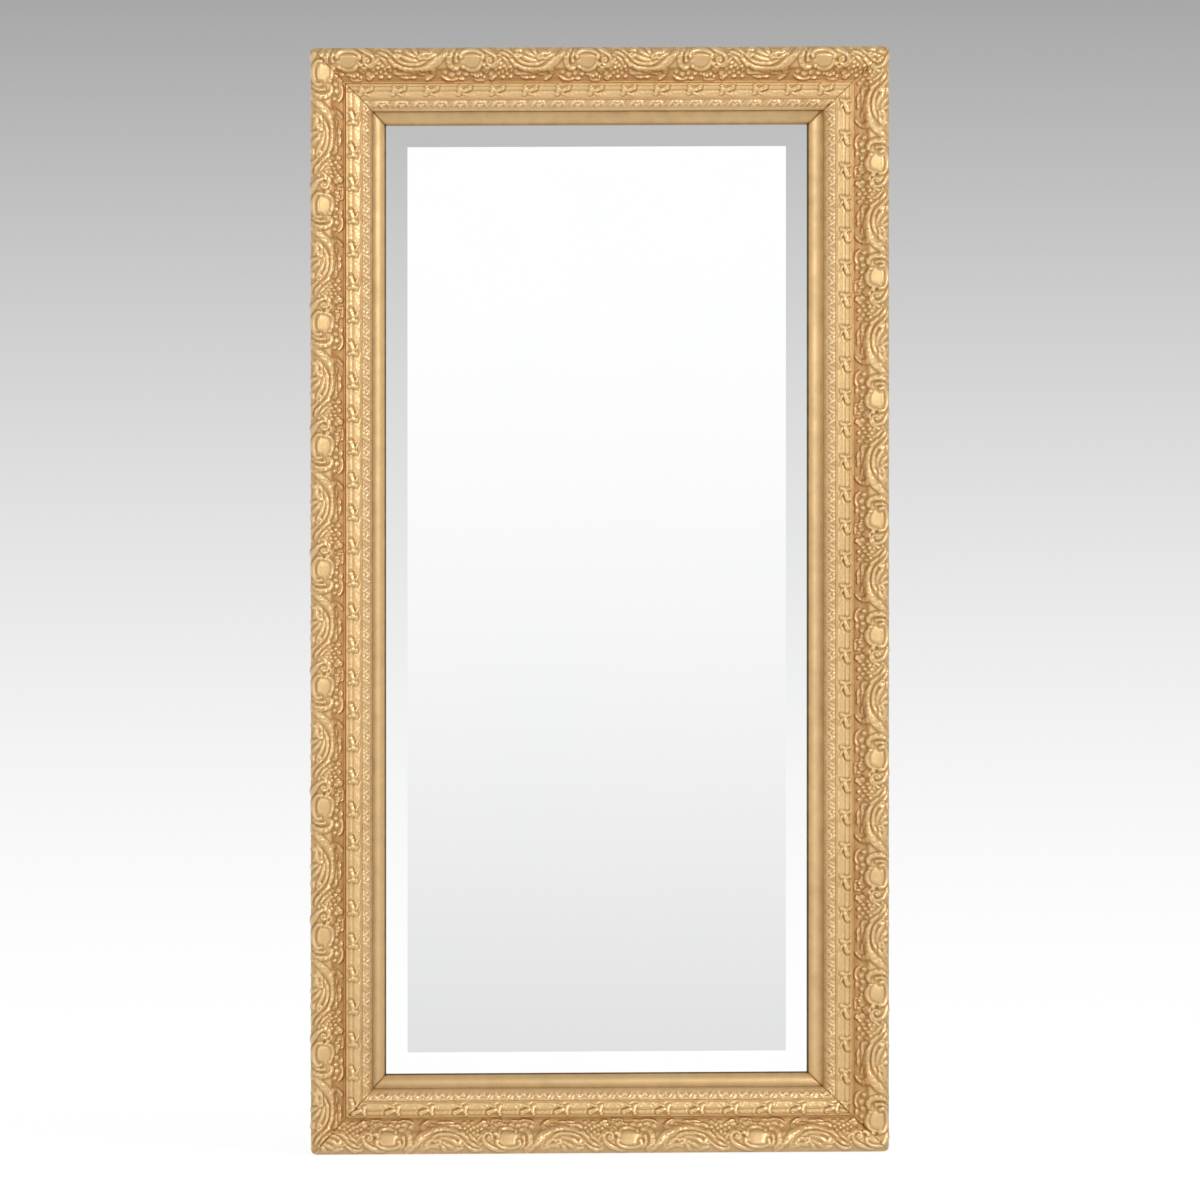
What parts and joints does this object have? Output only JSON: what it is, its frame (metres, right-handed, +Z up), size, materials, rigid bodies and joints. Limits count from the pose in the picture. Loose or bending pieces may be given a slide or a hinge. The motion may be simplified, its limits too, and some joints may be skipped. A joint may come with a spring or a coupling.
{
  "type": "wall mirror",
  "caption": "Tall rectangular wall mirror with a bevelled plate in a mitred gilt frame with pressed scroll ornament, boarded back, turn buttons and ring hangers.",
  "frame": {"origin": "centre of the overall box", "axes": "+Z up, +Y towards the wall, so the plate faces -Y, and +X to the right as seen from the front"},
  "size_m": [0.736, 0.0724, 1.4],
  "materials": {
    "pine": "sawn and toned",
    "gilt_composition": "satin gilt",
    "gilt_wood": "satin gilt",
    "mirror_glass": "polished, silvered",
    "softwood_block": "sawn",
    "backing_card": "matt",
    "board": "planed",
    "hardwood": "planed",
    "brass": "aged satin",
    "steel": "zinc plated",
    "felt_rubber": "matt"
  },
  "bodies": {
    "frame": {"rail_top": "pine", "ornament_run_top": "gilt_composition", "ribbon_run_top": "gilt_composition", "leaf_run_top": "gilt_composition", "slip_top": "gilt_wood", "rail_right": "pine", "ornament_run_right": "gilt_composition", "ribbon_run_right": "gilt_composition", "leaf_run_right": "gilt_composition", "slip_right": "gilt_wood", "rail_bottom": "pine", "ornament_run_bottom": "gilt_composition", "ribbon_run_bottom": "gilt_composition", "leaf_run_bottom": "gilt_composition", "slip_bottom": "gilt_wood", "rail_left": "pine", "ornament_run_left": "gilt_composition", "ribbon_run_left": "gilt_composition", "leaf_run_left": "gilt_composition", "slip_left": "gilt_wood", "mirror_plate": "mirror_glass", "glazing_blocks": "softwood_block", "backing_sheet": "backing_card", "back_board_1": "board", "back_board_2": "board", "back_board_3": "board", "mitre_splines": "hardwood", "slip_brads": "steel", "turn_button_screws": "brass", "hanger_strap_left": "steel", "hanger_strap_right": "steel", "hanger_screws": "steel", "wall_bumpers": "felt_rubber"},
    "turn_button_top_1": {"turn_button_top_1": "brass"},
    "turn_button_right_1": {"turn_button_right_1": "brass"},
    "turn_button_right_2": {"turn_button_right_2": "brass"},
    "turn_button_right_3": {"turn_button_right_3": "brass"},
    "turn_button_bottom_1": {"turn_button_bottom_1": "brass"},
    "turn_button_left_1": {"turn_button_left_1": "brass"},
    "turn_button_left_2": {"turn_button_left_2": "brass"},
    "turn_button_left_3": {"turn_button_left_3": "brass"},
    "hanger_ring_left": {"hanger_ring_left": "steel"},
    "hanger_ring_right": {"hanger_ring_right": "steel"}
  },
  "joints": [
    {"name": "turn_button_top_1_pivot", "type": "hinge", "parent": "frame", "child": "turn_button_top_1", "pos_m": [0, 0.0292, 0.637], "axis": [0, 1, 0], "continuous": true},
    {"name": "turn_button_right_1_pivot", "type": "hinge", "parent": "frame", "child": "turn_button_right_1", "pos_m": [0.305, 0.0292, 0.41867], "axis": [0, 1, 0], "continuous": true},
    {"name": "turn_button_right_2_pivot", "type": "hinge", "parent": "frame", "child": "turn_button_right_2", "pos_m": [0.305, 0.0292, 0], "axis": [0, 1, 0], "continuous": true},
    {"name": "turn_button_right_3_pivot", "type": "hinge", "parent": "frame", "child": "turn_button_right_3", "pos_m": [0.305, 0.0292, -0.41867], "axis": [0, 1, 0], "continuous": true},
    {"name": "turn_button_bottom_1_pivot", "type": "hinge", "parent": "frame", "child": "turn_button_bottom_1", "pos_m": [0, 0.0292, -0.637], "axis": [0, 1, 0], "continuous": true},
    {"name": "turn_button_left_1_pivot", "type": "hinge", "parent": "frame", "child": "turn_button_left_1", "pos_m": [-0.305, 0.0292, -0.41867], "axis": [0, 1, 0], "continuous": true},
    {"name": "turn_button_left_2_pivot", "type": "hinge", "parent": "frame", "child": "turn_button_left_2", "pos_m": [-0.305, 0.0292, 0], "axis": [0, 1, 0], "continuous": true},
    {"name": "turn_button_left_3_pivot", "type": "hinge", "parent": "frame", "child": "turn_button_left_3", "pos_m": [-0.305, 0.0292, 0.41867], "axis": [0, 1, 0], "continuous": true},
    {"name": "hanger_ring_left_hinge", "type": "hinge", "parent": "frame", "child": "hanger_ring_left", "pos_m": [-0.33, 0.03256, 0.35], "axis": [-1, 0, 0], "range_deg": [0, 180]},
    {"name": "hanger_ring_right_hinge", "type": "hinge", "parent": "frame", "child": "hanger_ring_right", "pos_m": [0.33, 0.03256, 0.35], "axis": [-1, 0, 0], "range_deg": [0, 180]}
  ]
}
